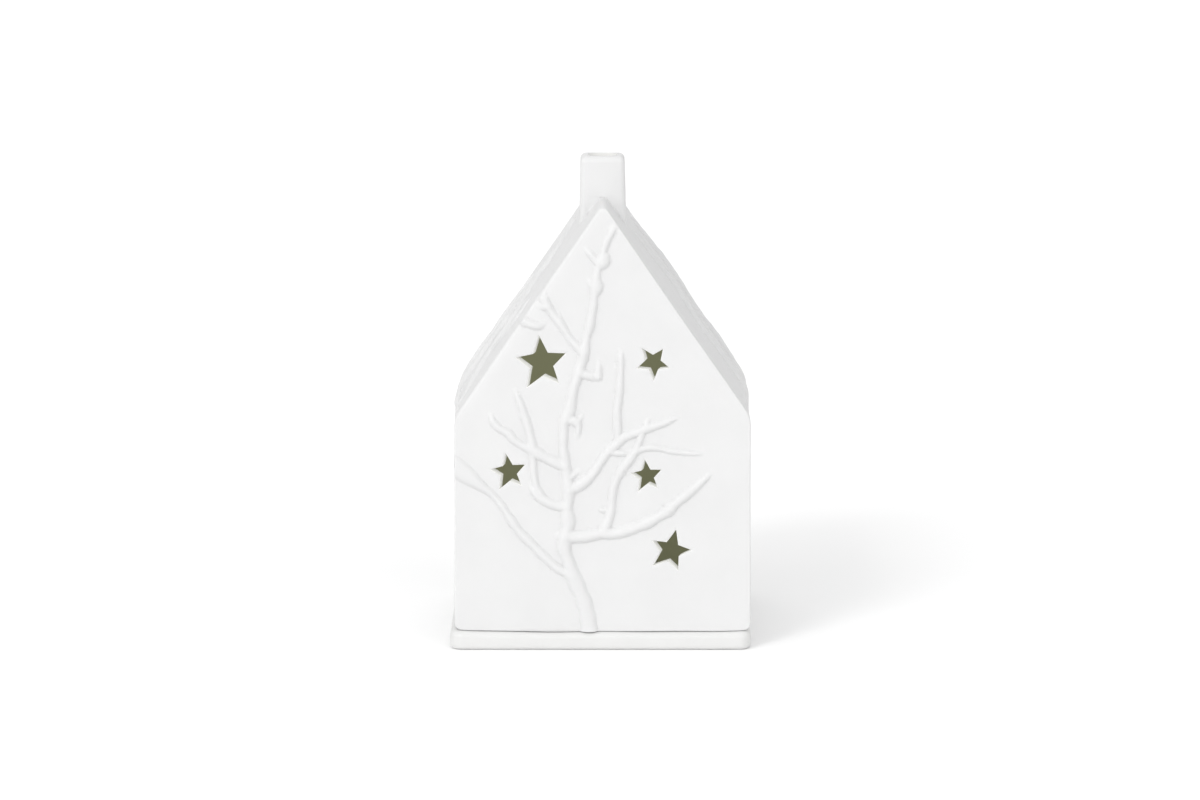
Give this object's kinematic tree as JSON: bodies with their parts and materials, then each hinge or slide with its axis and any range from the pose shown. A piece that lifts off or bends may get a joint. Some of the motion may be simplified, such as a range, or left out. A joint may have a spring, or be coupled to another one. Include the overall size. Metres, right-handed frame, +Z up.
{
  "type": "tealight holder",
  "caption": "White porcelain house with star openings and a raised twig relief, standing loose on a tray that holds a tealight.",
  "frame": {"origin": "under the middle of the tray, on the surface that the holder stands on", "axes": "+Z up; the gable with the stars and the twigs faces -Y; +X is to the right seen from the front"},
  "size_m": [0.0966, 0.09, 0.1558],
  "materials": {
    "bisque_porcelain": "unglazed satin-matt bisque",
    "tray_porcelain": "unglazed satin-matt bisque, slightly warmer",
    "cup_aluminium": "thin drawn foil, bright",
    "white_wax": "cast paraffin wax, satin",
    "tinned_steel": "tinned, dull",
    "cotton_wick": "waxed braided cotton"
  },
  "bodies": {
    "tray": {"base_tray": "tray_porcelain"},
    "house": {"house": "bisque_porcelain"},
    "tealight": {"tealight_cup": "cup_aluminium", "tealight_wax": "white_wax", "wick_sustainer": "tinned_steel", "wick": "cotton_wick"}
  },
  "joints": [
    {"name": "house_lift", "type": "slide", "parent": "tray", "child": "house", "axis": [0, 0, 1], "range_m": [0, 0.045]},
    {"name": "tealight_lift", "type": "slide", "parent": "tray", "child": "tealight", "axis": [0, 0, 1], "range_m": [0, 0.03]}
  ]
}
